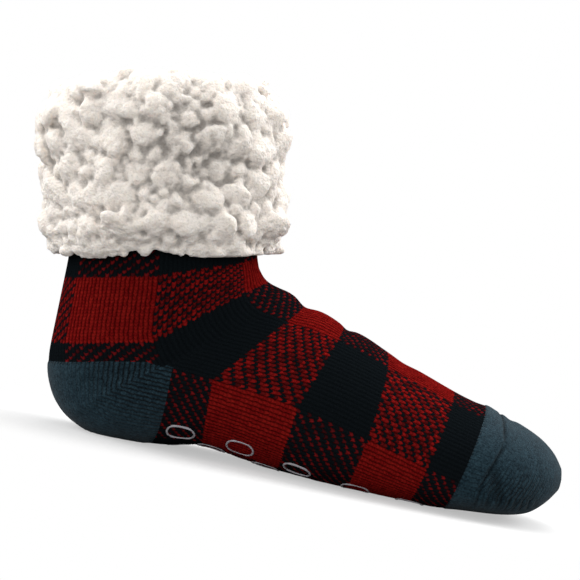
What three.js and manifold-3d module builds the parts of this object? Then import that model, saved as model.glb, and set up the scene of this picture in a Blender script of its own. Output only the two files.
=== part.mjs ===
// A knitted slipper sock with a deep curly fleece cuff, standing empty on its sole.
// Millimetres, +Z up, +X to the toe. The origin is where the heel rests on the floor.
import * as THREE from "three";
import { mergeVertices } from "three/addons/utils/BufferGeometryUtils.js";
import Module from "manifold-3d";

// Foot of the sock
const footLength = 249;
const ballWidth = 92;
const instepHeight = 82.5;
const wall = 2;
const patchStep = 0.45;
const clearance = 0.3;

// Shaft, which leans back over the heel
const shaftLean = 11;
const shaftLength = 81.5;
const shaftDepth = 96;
const shaftWidth = 80;

// Fleece cuff, folded over the top edge of the knit
const cuffHeight = 82;
const foldRise = 9;
const pileDepth = 10;
const liningDepth = 7;
const liningReach = 36;

// Curls of the fleece, which stand on the cuff in a honeycomb
const curlWidth = 19;
const curlDepth = 9;
const curlStand = 3.2;
const curlPitch = 23;

// Rubber grips printed on the sole
const gripLength = 13;
const gripWidth = 9;
const gripLine = 1.4;
const gripThickness = 0.7;
const gripClearance = 0.35;
const gripPitch = 28;
const gripMargin = 3;

// How finely the curved faces are cut
const around = 36;
const gripSides = 10;
const arcSteps = 24;
const halvings = 30;
const tiny = 0.004;

// The knit's rows from the instep to the toe, each a ring through the crest, the widest
// point of the side and the keel. x is a share of footLength from the heel's rest, z a
// share of instepHeight, width a share of ballWidth; crestRound and keelRound are the
// exponents of the ring's upper and lower curves, and cuts the faces to the next row.
const footColumns = [
  "name", "crestX", "crestZ", "sideX", "sideZ", "width", "keelX", "keelZ", "crestRound", "keelRound", "cuts",
];
const footTable = [
  ["instep", 0.263, 1.065, 0.07, 0.648, 0.772, -0.124, 0.461, 1.95, 2.1, 1],
  ["heelTop", 0.277, 1.04, 0.098, 0.509, 0.75, -0.12, 0.321, 1.9, 2.2, 1],
  ["heelBack", 0.285, 1.028, 0.101, 0.501, 0.746, -0.101, 0.172, 1.9, 2.2, 1],
  ["heelCorner", 0.292, 1.02, 0.104, 0.493, 0.743, -0.058, 0.046, 1.9, 2.3, 2],
  ["heelPad", 0.299, 1.012, 0.106, 0.487, 0.745, 0.012, -0.016, 1.9, 2.4, 2],
  ["heelFront", 0.308, 1.0, 0.111, 0.482, 0.757, 0.12, 0.006, 1.9, 2.4, 1],
  ["arch", 0.338, 0.965, 0.198, 0.467, 0.8, 0.202, 0.051, 1.9, 2.5, 2],
  ["waist", 0.425, 0.885, 0.348, 0.424, 0.902, 0.338, 0.006, 1.9, 2.5, 2],
  ["ballBack", 0.545, 0.762, 0.502, 0.327, 0.991, 0.482, -0.02, 1.95, 2.5, 2],
  ["ballFront", 0.672, 0.636, 0.642, 0.224, 0.978, 0.625, -0.02, 2, 2.5, 2],
  ["toeSeam", 0.738, 0.588, 0.708, 0.188, 0.92, 0.694, 0.008, 2, 2.5, 1],
  ["toeTop", 0.792, 0.539, 0.781, 0.176, 0.837, 0.773, 0.029, 2, 2.4, 1],
  ["toeRound", 0.835, 0.481, 0.829, 0.206, 0.685, 0.825, 0.063, 2, 2.4, 1],
  ["toeNose", 0.864, 0.412, 0.863, 0.242, 0.478, 0.86, 0.145, 2, 2.2, 1],
  ["toeEnd", 0.879, 0.352, 0.879, 0.267, 0.283, 0.878, 0.212, 2, 2, 0],
];
const toeTipShare = { x: 0.8854, z: 0.285 };

// The shaft's rows, from its top edge down: along is a share of shaftLength from the
// ankle, depth and width shares of the shaft's own sizes.
const shaftFoot = { x: 0.057, z: 1.012 };
const shaftTable = [
  { name: "collar", along: 1, depth: 1, width: 1, cuts: 2 },
  { name: "calf", along: 0.5, depth: 0.985, width: 0.97, cuts: 2 },
  { name: "ankle", along: 0, depth: 0.957, width: 0.925, cuts: 2 },
];

// A pocket's step takes this share of a row, and at the heel's sides it fades in between
// these shares of the half ring.
const stepRun = 0.07;
const heelFade = { from: 0.5, to: 0.56 };

// The cuff's section, anticlockwise from its hem: out is a share of pileDepth outside the
// knit, or of liningDepth inside it, and up a share of cuffHeight above the hem.
const cuffOuter = [
  { out: 0.42, up: -0.01 },
  { out: 0.9, up: 0.04 },
  { out: 1.04, up: 0.24 },
  { out: 0.86, up: 0.47 },
  { out: 1.1, up: 0.68 },
  { out: 1.12, up: 0.86 },
  { out: 0.78, up: 0.95 },
  { out: 0.24, up: 0.995 },
];
const cuffInner = [
  { out: 0.2, up: 1.0 },
  { out: 0.78, up: 0.965 },
  { out: 1.04, up: 0.9 },
  { out: 0.98, up: 0.66 },
];
const foldTurns = 2;
const liningTaper = 0.7;

// A curl's length and breadth are shares of curlWidth. The stretch makes some curls longer
// and as much slimmer, and each strays from its place by up to a share of the pitch.
const curlShare = { long: 0.9, short: 0.76, stretch: 0.24, stray: 0.35, start: 0.4 };
const curlRadius = 0.53;
const curlTurn = 6;
const honeycomb = Math.sqrt(3) / 2;

// Where the grips of the even and the odd rows lie round the ring, which starts at the crest.
const gripTurns = [
  [0.386, 0.5, 0.614],
  [0.443, 0.557],
];

const radians = Math.PI / 180;
const leanAxis = new THREE.Vector3(-Math.sin(shaftLean * radians), 0, Math.cos(shaftLean * radians));
const leanAcross = new THREE.Vector3(leanAxis.z, 0, -leanAxis.x);
const ankleCentre = new THREE.Vector3(shaftFoot.x * footLength, 0, shaftFoot.z * instepHeight);
const toeTip = new THREE.Vector3(toeTipShare.x * footLength, 0, toeTipShare.z * instepHeight);
const soleLift = gripThickness + gripClearance;

const footRows = footTable.map((values) => Object.fromEntries(values.map((value, i) => [footColumns[i], value])));
const knitTable = [...shaftTable, ...footRows];
const rowIndex = (name) => knitTable.findIndex((row) => row.name === name);
const keelX = (name) => knitTable[rowIndex(name)].keelX * footLength;
const archX = keelX("arch");
const heelFrom = rowIndex("heelTop");
const heelTo = rowIndex("heelFront");
const toeFrom = rowIndex("toeSeam");

const shaftRound = 2;

function shaftRow({ along, depth, width }) {
  const centre = ankleCentre.clone().addScaledVector(leanAxis, along * shaftLength);
  const crest = centre.clone().addScaledVector(leanAcross, (depth * shaftDepth) / 2);
  const keel = centre.clone().addScaledVector(leanAcross, (-depth * shaftDepth) / 2);
  const half = (width * shaftWidth) / 2;
  return [crest.x, crest.z, centre.x, centre.z, half, keel.x, keel.z, shaftRound, shaftRound];
}

function footRow(row) {
  return [
    row.crestX * footLength,
    row.crestZ * instepHeight,
    row.sideX * footLength,
    row.sideZ * instepHeight,
    (row.width * ballWidth) / 2,
    row.keelX * footLength,
    row.keelZ * instepHeight,
    row.crestRound,
    row.keelRound,
  ];
}

const rows = [...shaftTable.map(shaftRow), ...footRows.map(footRow)];
const lastRow = rows.length - 1;

// A gentle cubic through the rows: its slopes never overshoot, so no ring swells between two rows.
function slopeAt(index, column) {
  const before = rows[index][column] - rows[index - 1][column];
  const after = rows[index + 1][column] - rows[index][column];
  return before * after > 0 ? (2 * before * after) / (before + after) : 0;
}

function ringAt(t) {
  const index = Math.min(Math.floor(t), lastRow - 1);
  const u = t - index;
  const values = rows[index].map((start, column) => {
    const end = rows[index + 1][column];
    const first = index === 0 ? end - start : slopeAt(index, column);
    const last = index + 1 === lastRow ? end - start : slopeAt(index + 1, column);
    const blend = u * u * (3 - 2 * u);
    return start + (end - start) * blend + first * u * (1 - u) ** 2 - last * u * u * (1 - u);
  });
  const [crestX, crestZ, sideX, sideZ, half, keelX, keelZ, crestRound, keelRound] = values;
  return { crestX, crestZ, sideX, sideZ, half, keelX, keelZ, crestRound, keelRound };
}

// A point of one quarter of a ring: angle 0 is at the crest or keel, 90 degrees at the side.
function quarterPoint(ring, upper, angle) {
  const power = 2 / (upper ? ring.crestRound : ring.keelRound);
  const reach = Math.max(Math.cos(angle), 0) ** power;
  const endX = upper ? ring.crestX : ring.keelX;
  const endZ = upper ? ring.crestZ : ring.keelZ;
  return new THREE.Vector3(
    ring.sideX + (endX - ring.sideX) * reach,
    ring.half * Math.sin(angle) ** power,
    ring.sideZ + (endZ - ring.sideZ) * reach
  );
}

// The point at a share of the half ring from crest to keel, spaced evenly by length.
function ringPoint(ring, share) {
  const upper = share <= 0.5;
  const points = Array.from({ length: arcSteps + 1 }, (_, i) => {
    return quarterPoint(ring, upper, (i / arcSteps) * (Math.PI / 2));
  });
  const lengths = [0];
  for (let i = 1; i <= arcSteps; i++) lengths.push(lengths[i - 1] + points[i].distanceTo(points[i - 1]));
  const target = (upper ? share : 1 - share) * 2 * lengths[arcSteps];
  const step = Math.min(Math.max(lengths.findIndex((length) => length >= target), 1), arcSteps);
  const within = (target - lengths[step - 1]) / (lengths[step] - lengths[step - 1]);
  return points[step - 1].clone().lerp(points[step], within);
}

// The heel rests on the floor, and from the arch on the grips hold the knit above it.
const restHeight = (x) => (x < archX ? 0 : soleLift);

// The knit's outer face before the heel and toe patches. turn runs once round the ring, from the crest.
function knitPoint(t, turn) {
  const wrapped = ((turn % 1) + 1) % 1;
  const share = wrapped <= 0.5 ? wrapped * 2 : (1 - wrapped) * 2;
  const point = ringPoint(ringAt(t), share);
  if (wrapped > 0.5) point.y *= -1;
  point.z = Math.max(point.z, restHeight(point.x));
  return point;
}

function knitNormal(t, turn) {
  const down = knitPoint(Math.min(t + tiny, lastRow), turn).sub(knitPoint(Math.max(t - tiny, 0), turn));
  const round = knitPoint(t, turn + tiny).sub(knitPoint(t, turn - tiny));
  return down.cross(round).normalize();
}

// How far the thicker heel and toe pockets stand out of the rest of the knit.
function patchHeight(t, turn) {
  if (t > toeFrom + stepRun / 2) return patchStep;
  const share = Math.min(turn, 1 - turn) * 2;
  const inHeel = t > heelFrom + stepRun / 2 && t < heelTo - stepRun / 2;
  return inHeel ? patchStep * THREE.MathUtils.smoothstep(share, heelFade.from, heelFade.to) : 0;
}

// Faces between rings of points, each ring to the next one, and the last to the first when closed.
function skin(rings, closed) {
  const positions = rings.flat().flatMap((point) => point.toArray());
  const faces = [];
  const count = closed ? rings.length : rings.length - 1;
  for (let i = 0; i < count; i++) {
    const here = i * around;
    const next = ((i + 1) % rings.length) * around;
    for (let j = 0; j < around; j++) {
      const k = (j + 1) % around;
      faces.push(here + j, next + k, next + j, here + j, here + k, next + k);
    }
  }
  return { positions, faces };
}

function geometryOf({ positions, faces }) {
  const geometry = new THREE.BufferGeometry();
  geometry.setAttribute("position", new THREE.Float32BufferAttribute(positions, 3));
  geometry.setIndex(faces);
  return geometry;
}

// The row of the knit that reaches a height along the shaft's axis above the cuff's hem.
const hemHeight = shaftLength - (cuffHeight - foldRise);

function shaftRowAt(up, turn) {
  let high = 0;
  let low = heelFrom;
  const wanted = Math.min(hemHeight + up, shaftLength);
  for (let i = 0; i < halvings; i++) {
    const middle = (high + low) / 2;
    const height = knitPoint(middle, turn).sub(ankleCentre).dot(leanAxis);
    if (height > wanted) high = middle;
    else low = middle;
  }
  return high;
}

// The rows where the knit's faces meet: the table's, their cuts, the cuff's hem and the pockets' steps.
const sideTurn = 0.25;
const hemRow = shaftRowAt(0, sideTurn);

function gridRows() {
  const stops = [lastRow, hemRow, heelFrom + stepRun, heelTo - stepRun, toeFrom + stepRun];
  knitTable.forEach(({ cuts }, index) => {
    for (let cut = 0; cut < cuts; cut++) stops.push(index + cut / cuts);
  });
  return stops.sort((a, b) => a - b);
}

const knitRows = gridRows();
const turns = Array.from({ length: around }, (_, j) => j / around);
const knitFace = knitRows.map((t) =>
  turns.map((turn) => {
    const point = knitPoint(t, turn);
    const floor = restHeight(point.x);
    const resting = point.z <= floor;
    point.addScaledVector(knitNormal(t, turn), patchHeight(t, turn));
    point.z = resting ? floor : Math.max(point.z, floor);
    return point;
  })
);
const knitLining = knitRows.map((t) =>
  turns.map((turn) => {
    const point = knitPoint(t, turn);
    const floor = restHeight(point.x) + wall;
    point.addScaledVector(knitNormal(t, turn), -wall);
    point.z = Math.max(point.z, floor);
    return point;
  })
);

// The knit: its outer face runs from the toe to the top edge, and its inner face back down to the toe.
function knitGeometry() {
  const { positions, faces } = skin([...[...knitFace].reverse(), ...knitLining], false);
  const outerTip = positions.length / 3;
  const lastRing = (knitRows.length * 2 - 1) * around;
  positions.push(toeTip.x + patchStep, 0, toeTip.z, toeTip.x - wall, 0, toeTip.z);
  for (let j = 0; j < around; j++) {
    const k = (j + 1) % around;
    faces.push(j, outerTip, k, lastRing + j, lastRing + k, outerTip + 1);
  }
  return geometryOf({ positions, faces });
}

// The point on the knit's cut faces, between the four corners that surround it.
function facePoint(t, turn) {
  const row = Math.max(knitRows.findIndex((stop) => stop > t) - 1, 0);
  const mixRow = (t - knitRows[row]) / (knitRows[row + 1] - knitRows[row]);
  const place = turn * around;
  const column = Math.floor(place);
  const next = (column + 1) % around;
  const upper = knitFace[row][column].clone().lerp(knitFace[row][next], place - column);
  const lower = knitFace[row + 1][column].clone().lerp(knitFace[row + 1][next], place - column);
  return upper.lerp(lower, mixRow);
}

// A ring beside the knit, at a distance from one of its rows.
function knitRing(t, out) {
  return turns.map((turn) => knitPoint(t, turn).addScaledVector(knitNormal(t, turn), out));
}

// A point beside the shaft, or above its top edge, by its distance from the knit and its height over the hem.
function cuffPoint(out, up, turn) {
  const t = shaftRowAt(up, turn);
  const above = Math.max(hemHeight + up - shaftLength, 0);
  return knitPoint(t, turn).addScaledVector(knitNormal(t, turn), out).addScaledVector(leanAxis, above);
}

function cuffRing(out, up) {
  return turns.map((turn) => cuffPoint(out, up, turn));
}

// Where the cuff lies against the knit it takes the knit's own rows, so their faces run side by side.
const outside = clearance;
const inside = -wall - clearance;

function cuffRings() {
  const rim = cuffHeight - foldRise + clearance;
  const backedRows = knitRows.filter((t) => t <= hemRow);
  const liningRows = backedRows.filter((t) => (t / rowIndex("ankle")) * shaftLength < liningReach);
  return [
    ...cuffOuter.map(({ out, up }) => cuffRing(outside + out * pileDepth, up * cuffHeight)),
    ...cuffInner.map(({ out, up }) => cuffRing(inside - out * liningDepth, up * cuffHeight)),
    cuffRing(inside - liningDepth * liningTaper, rim - liningReach),
    cuffRing(inside, rim - liningReach),
    ...liningRows.reverse().map((t) => knitRing(t, inside)),
    cuffRing(inside, rim),
    cuffRing(outside, rim),
    ...backedRows.map((t) => knitRing(t, outside)),
  ];
}

const wasm = await Module();
wasm.setup();

function toManifold(geometry) {
  const plain = geometry.clone();
  plain.deleteAttribute("normal");
  plain.deleteAttribute("uv");
  const merged = mergeVertices(plain);
  return new wasm.Manifold(
    new wasm.Mesh({
      numProp: 3,
      vertProperties: new Float32Array(merged.attributes.position.array),
      triVerts: new Uint32Array(merged.index.array),
    })
  );
}

function fromManifold(manifold) {
  const { vertProperties, triVerts } = manifold.getMesh();
  return geometryOf({ positions: Array.from(vertProperties), faces: Array.from(triVerts) });
}

// A repeatable scatter: the same share between 0 and 1 for the same pair of numbers.
const scatterMix = [127.1, 311.7, 43758.5453];

function scatter(a, b) {
  const value = Math.sin(a * scatterMix[0] + b * scatterMix[1]) * scatterMix[2];
  return value - Math.floor(value);
}

// One curl of the fleece: a squashed lump that lies on the cuff's face and is turned on it.
const lumpAxis = new THREE.Vector3(0, 0, 1);

function curlGeometry(centre, facing, row, step) {
  const stretch = curlShare.stretch * scatter(row, step);
  const long = curlWidth * (curlShare.long + stretch);
  const short = curlWidth * (curlShare.short - stretch);
  const lump = new THREE.IcosahedronGeometry(curlRadius, 0);
  lump.rotateX(curlTurn * scatter(row + 3, step));
  lump.scale(long, short, curlDepth);
  lump.rotateZ(curlTurn * scatter(row, step + 7));
  lump.applyQuaternion(new THREE.Quaternion().setFromUnitVectors(lumpAxis, facing));
  lump.translate(centre.x, centre.y, centre.z);
  return lump;
}

// The fleece's showing face as a path from the hem, up the outside and over the fold.
const fleecePath = [
  ...cuffOuter.map(({ out, up }) => new THREE.Vector2(outside + out * pileDepth, up * cuffHeight)),
  ...cuffInner
    .slice(0, foldTurns)
    .map(({ out, up }) => new THREE.Vector2(inside - out * liningDepth, up * cuffHeight)),
];

// The place at a distance along that path, and the way the fleece faces there.
function alongFleece(distance) {
  let left = distance;
  for (let i = 0; i + 1 < fleecePath.length; i++) {
    const step = fleecePath[i + 1].clone().sub(fleecePath[i]);
    const length = step.length();
    if (left <= length || i + 2 === fleecePath.length) {
      const place = fleecePath[i].clone().addScaledVector(step, left / length);
      return { out: place.x, up: place.y, outFace: step.y / length, upFace: Math.max(-step.x / length, 0) };
    }
    left -= length;
  }
}

// The cuff's body with its curls fused on, less any crumb that lies sealed inside.
function cuffGeometry() {
  const pathLength = fleecePath.slice(1).reduce((sum, point, i) => sum + point.distanceTo(fleecePath[i]), 0);
  const girth = Math.PI * ((shaftDepth + shaftWidth) / 2 + pileDepth * 2);
  const curlRows = Math.round(pathLength / (curlPitch * honeycomb));
  const curlCount = Math.round(girth / curlPitch);
  let body = toManifold(geometryOf(skin(cuffRings(), true)));
  for (let row = 0; row < curlRows; row++) {
    for (let step = 0; step < curlCount; step++) {
      const share = (row + curlShare.start + curlShare.stray * (scatter(row, step + 1) - 0.5)) / curlRows;
      const turn = (step + (row % 2) / 2 + curlShare.stray * scatter(step, row + 2)) / curlCount;
      const { out, up, outFace, upFace } = alongFleece(share * pathLength);
      const facing = knitNormal(shaftRowAt(up, turn), turn).multiplyScalar(outFace);
      facing.addScaledVector(leanAxis, upFace);
      const centre = cuffPoint(out, up, turn).addScaledVector(facing, curlStand - curlDepth / 2);
      body = body.add(toManifold(curlGeometry(centre, facing, row, step)));
    }
  }
  const largest = body.decompose().sort((a, b) => b.volume() - a.volume())[0];
  return fromManifold(largest);
}

// The row on the keel that lies at a distance from the heel's rest.
function keelRow(x) {
  let low = rowIndex("heelPad");
  let high = lastRow;
  for (let i = 0; i < halvings; i++) {
    const middle = (low + high) / 2;
    if (ringAt(middle).keelX < x) low = middle;
    else high = middle;
  }
  return low;
}

// A printed oval that follows the sole just under the knit.
function gripGeometry(x, turn) {
  const t = keelRow(x);
  const rowPerMm = tiny / knitPoint(t + tiny, turn).distanceTo(knitPoint(t, turn));
  const turnPerMm = tiny / knitPoint(t, turn + tiny).distanceTo(knitPoint(t, turn));
  const place = (along, across, height) => {
    const row = t + along * rowPerMm;
    const spot = turn + across * turnPerMm;
    return facePoint(row, spot).addScaledVector(knitNormal(row, spot), height);
  };
  const loops = [
    { inset: 0, height: gripClearance },
    { inset: 0, height: soleLift },
    { inset: gripLine, height: soleLift },
    { inset: gripLine, height: gripClearance },
  ];
  const positions = [];
  for (const { inset, height } of loops) {
    for (let side = 0; side < gripSides; side++) {
      const angle = (side / gripSides) * Math.PI * 2;
      const along = (gripLength / 2 - inset) * Math.cos(angle);
      const across = (gripWidth / 2 - inset) * Math.sin(angle);
      positions.push(...place(along, across, height).toArray());
    }
  }
  const faces = [];
  for (let loop = 0; loop < loops.length; loop++) {
    const here = loop * gripSides;
    const next = ((loop + 1) % loops.length) * gripSides;
    for (let side = 0; side < gripSides; side++) {
      const after = (side + 1) % gripSides;
      faces.push(here + side, here + after, next + after, here + side, next + after, next + side);
    }
  }
  return geometryOf({ positions, faces });
}

function named(name, geometry, material) {
  const mesh = new THREE.Mesh(geometry, material);
  mesh.name = name;
  return mesh;
}

const knitMaterial = new THREE.MeshStandardMaterial({ color: 0x6d1214, roughness: 0.95, metalness: 0 });
const fleeceMaterial = new THREE.MeshStandardMaterial({ color: 0xe9e2da, roughness: 1, metalness: 0 });
const gripMaterial = new THREE.MeshStandardMaterial({ color: 0xc9c7cc, roughness: 0.5, metalness: 0 });

const slipperSock = new THREE.Group();
slipperSock.add(named("knit_sock", knitGeometry(), knitMaterial));
slipperSock.add(named("sherpa_cuff", cuffGeometry(), fleeceMaterial));

// The grips stand in rows half a pitch apart, from the heel pocket's front to the toe pocket's seam.
const gripFrom = keelX("heelFront") + gripMargin + gripLength / 2;
const gripTo = keelX("toeSeam") - gripMargin - gripLength / 2;
const gripRowCount = Math.floor((gripTo - gripFrom) / (gripPitch / 2)) + 1;
for (let row = 0; row < gripRowCount; row++) {
  const x = gripFrom + (row * gripPitch) / 2;
  gripTurns[row % 2].forEach((turn, column) => {
    const name = `grip_${String(row + 1).padStart(2, "0")}_${column + 1}`;
    slipperSock.add(named(name, gripGeometry(x, turn), gripMaterial));
  });
}

export default slipperSock;
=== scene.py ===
# %% [markdown]
# # A slipper sock with a deep fleece cuff
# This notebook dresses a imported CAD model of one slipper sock. The CAD solids give the form and
# the size. Here the sock gets its real surface: stitches in a red and black check, grey-blue
# heel and toe pockets, a curly fleece cuff, a fleece lining and rubber grips under the sole.
# Everything is in one frame: +X runs to the toe, +Z is up, and the heel rests at the origin.

# %% Load the frame
import math
from bisect import bisect
from functools import lru_cache

import bmesh
import bpy
from mathutils import Euler, Matrix, Vector, noise
from mathutils.bvhtree import BVHTree
from mathutils.kdtree import KDTree


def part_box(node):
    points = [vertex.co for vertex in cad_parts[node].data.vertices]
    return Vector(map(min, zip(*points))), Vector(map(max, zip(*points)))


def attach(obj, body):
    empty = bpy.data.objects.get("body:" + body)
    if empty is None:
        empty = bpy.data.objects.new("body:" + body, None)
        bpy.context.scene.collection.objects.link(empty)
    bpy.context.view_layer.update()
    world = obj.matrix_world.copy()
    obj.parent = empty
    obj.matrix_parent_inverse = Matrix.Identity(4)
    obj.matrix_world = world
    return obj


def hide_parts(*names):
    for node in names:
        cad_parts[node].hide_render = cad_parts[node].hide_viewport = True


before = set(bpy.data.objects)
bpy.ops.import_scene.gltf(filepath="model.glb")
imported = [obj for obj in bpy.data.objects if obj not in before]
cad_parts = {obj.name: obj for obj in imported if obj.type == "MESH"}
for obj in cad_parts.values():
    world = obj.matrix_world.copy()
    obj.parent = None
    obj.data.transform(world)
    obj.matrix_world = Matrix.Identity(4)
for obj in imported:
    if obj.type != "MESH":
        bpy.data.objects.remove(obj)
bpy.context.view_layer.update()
MM = 0.001

# %% [markdown]
# ## The camera
# The sock was photographed from its side, a little from above, with its heel lifted. Ours stands
# level on the floor, so the camera is rolled instead, and the foot still runs down to the right.
# A long lens keeps the perspective flat, as in a product photo. The aim is a point in the middle
# of the picture, worked out from the sock's outline.

# %% Camera
CAMERA_AIM = Vector((75.4, 0, 85.1)) * MM
CAMERA_DISTANCE = 1.2
CAMERA_RISE = math.radians(2.5)
CAMERA_ROLL = math.radians(12)
PICTURE_WIDTH = 276.2 * MM
SENSOR_WIDTH = 36

camera_data = bpy.data.cameras.new("camera")
camera_data.sensor_width = SENSOR_WIDTH
camera_data.lens = SENSOR_WIDTH * CAMERA_DISTANCE / PICTURE_WIDTH
camera = bpy.data.objects.new("camera", camera_data)
bpy.context.scene.collection.objects.link(camera)
towards_sock = Euler((math.pi / 2 - CAMERA_RISE, 0, 0)).to_matrix()
camera_turn = towards_sock @ Matrix.Rotation(CAMERA_ROLL, 3, "Z")
camera.matrix_world = Matrix.Translation(CAMERA_AIM) @ camera_turn.to_4x4()
camera.matrix_world.translation = CAMERA_AIM + towards_sock @ Vector((0, 0, CAMERA_DISTANCE))
bpy.context.scene.camera = camera
print("lens:", round(camera_data.lens, 1), "mm; camera height:", round(camera.location.z, 3), "m")

# %% [markdown]
# ## The sock's form
# A sock is one long tube. Its form could be sculpted, but a knitter thinks in rows, so we do too.
# Each row of this table is a ring through three points: the crest on top of the foot, the widest
# point of the side, and the keel below. The shaft's rings lean back over the heel. Between the
# rows a gentle cubic fills in, one that never overshoots. The sizes are the CAD model's own, in
# millimetres, and the rows are shares of them.

# %% Sizes and rows of the knit
FOOT_LENGTH = 249
BALL_WIDTH = 92
INSTEP_HEIGHT = 82.5
WALL = 2
PATCH_STEP = 0.45
SHAFT_LEAN = math.radians(11)
SHAFT_LENGTH = 81.5
SHAFT_DEPTH = 96
SHAFT_WIDTH = 80
SOLE_LIFT = 1.05
SHAFT_FOOT = (0.057, 1.012)
TOE_TIP = Vector((0.8854 * FOOT_LENGTH, 0, 0.285 * INSTEP_HEIGHT))

# name, crest x, crest z, side x, side z, width, keel x, keel z, crest round, keel round
FOOT_ROWS = [
    ("instep", 0.263, 1.065, 0.07, 0.648, 0.772, -0.124, 0.461, 1.95, 2.1),
    ("heel top", 0.277, 1.04, 0.098, 0.509, 0.75, -0.12, 0.321, 1.9, 2.2),
    ("heel back", 0.285, 1.028, 0.101, 0.501, 0.746, -0.101, 0.172, 1.9, 2.2),
    ("heel corner", 0.292, 1.02, 0.104, 0.493, 0.743, -0.058, 0.046, 1.9, 2.3),
    ("heel pad", 0.299, 1.012, 0.106, 0.487, 0.745, 0.012, -0.016, 1.9, 2.4),
    ("heel front", 0.308, 1.0, 0.111, 0.482, 0.757, 0.12, 0.006, 1.9, 2.4),
    ("arch", 0.338, 0.965, 0.198, 0.467, 0.8, 0.202, 0.051, 1.9, 2.5),
    ("waist", 0.425, 0.885, 0.348, 0.424, 0.902, 0.338, 0.006, 1.9, 2.5),
    ("ball back", 0.545, 0.762, 0.502, 0.327, 0.991, 0.482, -0.02, 1.95, 2.5),
    ("ball front", 0.672, 0.636, 0.642, 0.224, 0.978, 0.625, -0.02, 2, 2.5),
    ("toe seam", 0.738, 0.588, 0.708, 0.188, 0.92, 0.694, 0.008, 2, 2.5),
    ("toe top", 0.792, 0.539, 0.781, 0.176, 0.837, 0.773, 0.029, 2, 2.4),
    ("toe round", 0.835, 0.481, 0.829, 0.206, 0.685, 0.825, 0.063, 2, 2.4),
    ("toe nose", 0.864, 0.412, 0.863, 0.242, 0.478, 0.86, 0.145, 2, 2.2),
    ("toe end", 0.879, 0.352, 0.879, 0.267, 0.283, 0.878, 0.212, 2, 2),
]
# name, height along the shaft, depth, width
SHAFT_ROWS = [
    ("collar", 1, 1, 1),
    ("calf", 0.5, 0.985, 0.97),
    ("ankle", 0, 0.957, 0.925),
]
ROW = {row[0]: index for index, row in enumerate(SHAFT_ROWS + FOOT_ROWS)}
LEAN_AXIS = Vector((-math.sin(SHAFT_LEAN), 0, math.cos(SHAFT_LEAN)))
LEAN_ACROSS = Vector((LEAN_AXIS.z, 0, -LEAN_AXIS.x))
ANKLE = Vector((SHAFT_FOOT[0] * FOOT_LENGTH, 0, SHAFT_FOOT[1] * INSTEP_HEIGHT))


def shaft_row(along, depth, width):
    centre = ANKLE + LEAN_AXIS * along * SHAFT_LENGTH
    reach = LEAN_ACROSS * depth * SHAFT_DEPTH / 2
    crest, keel = centre + reach, centre - reach
    return (crest.x, crest.z, centre.x, centre.z, width * SHAFT_WIDTH / 2, keel.x, keel.z, 2, 2)


def foot_row(crest_x, crest_z, side_x, side_z, width, keel_x, keel_z, crest_round, keel_round):
    return (
        crest_x * FOOT_LENGTH, crest_z * INSTEP_HEIGHT,
        side_x * FOOT_LENGTH, side_z * INSTEP_HEIGHT, width * BALL_WIDTH / 2,
        keel_x * FOOT_LENGTH, keel_z * INSTEP_HEIGHT, crest_round, keel_round,
    )


KEEL_X = 5
ROWS = [shaft_row(*row[1:]) for row in SHAFT_ROWS] + [foot_row(*row[1:]) for row in FOOT_ROWS]
LAST = len(ROWS) - 1
ARCH_X = ROWS[ROW["arch"]][KEEL_X]


def sole_height(x):
    """The heel rests on the floor, and the forefoot on its grips, a little above it."""
    return 0 if x < ARCH_X else SOLE_LIFT


print(len(ROWS), "rows from the collar to the toe")

# %% [markdown]
# Now the rings themselves. A ring is four quarter curves, each a superellipse, and its points
# are spaced evenly by length, because stitches are all of one width. `ring_points` gives one
# half ring from crest to keel, and the other half is its mirror image.

# %% Rings of the tube
ARC_STEPS = 24
FINE = 24
TOE_PULL = 0.41
TOP_PULL = 0.23
KEEL_PULL = 0.24
BACK_PULL = 0.2


def slope(index, column):
    before = ROWS[index][column] - ROWS[index - 1][column]
    after = ROWS[index + 1][column] - ROWS[index][column]
    return 2 * before * after / (before + after) if before * after > 0 else 0


def ring_values(t):
    index = min(int(t), LAST - 1)
    u = t - index
    blend = u * u * (3 - 2 * u)
    values = []
    for column, (start, end) in enumerate(zip(ROWS[index], ROWS[index + 1])):
        first = slope(index, column) if index else end - start
        last = slope(index + 1, column) if index + 1 < LAST else end - start
        cubic = start + (end - start) * blend + first * u * (1 - u) ** 2 - last * u * u * (1 - u)
        values.append(cubic)
    return values


def quarter(values, upper):
    crest_x, crest_z, side_x, side_z, half, keel_x, keel_z, crest_round, keel_round = values
    power = 2 / (crest_round if upper else keel_round)
    end = Vector((crest_x, 0, crest_z)) if upper else Vector((keel_x, 0, keel_z))
    side = Vector((side_x, 0, side_z))
    points = []
    for step in range(ARC_STEPS + 1):
        angle = step / ARC_STEPS * math.pi / 2
        point = side.lerp(end, max(math.cos(angle), 0) ** power)
        point.y = half * math.sin(angle) ** power
        points.append(point)
    return points


def evenly(points, shares):
    lengths = [0]
    for here, after in zip(points, points[1:]):
        lengths.append(lengths[-1] + (after - here).length)
    result = []
    step = 1
    for share in shares:
        target = share * lengths[-1]
        while step < len(points) - 1 and lengths[step] < target:
            step += 1
        within = (target - lengths[step - 1]) / (lengths[step] - lengths[step - 1])
        result.append(points[step - 1].lerp(points[step], within))
    return result


@lru_cache(maxsize=None)
def ring_points(stop, steps):
    """One half ring from crest to keel, as steps + 1 points; there are FINE stops to a row."""
    values = ring_values(stop / FINE)
    shares = [step / (steps // 2) for step in range(steps // 2 + 1)]
    upper = evenly(quarter(values, True), shares)
    lower = evenly(quarter(values, False), shares)
    points = upper + lower[-2::-1]
    for point in points:
        point.z = max(point.z, sole_height(point.x))
    return points


def smooth(value, start, end):
    x = min(max((value - start) / (end - start), 0), 1)
    return x * x * (3 - 2 * x)


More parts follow.
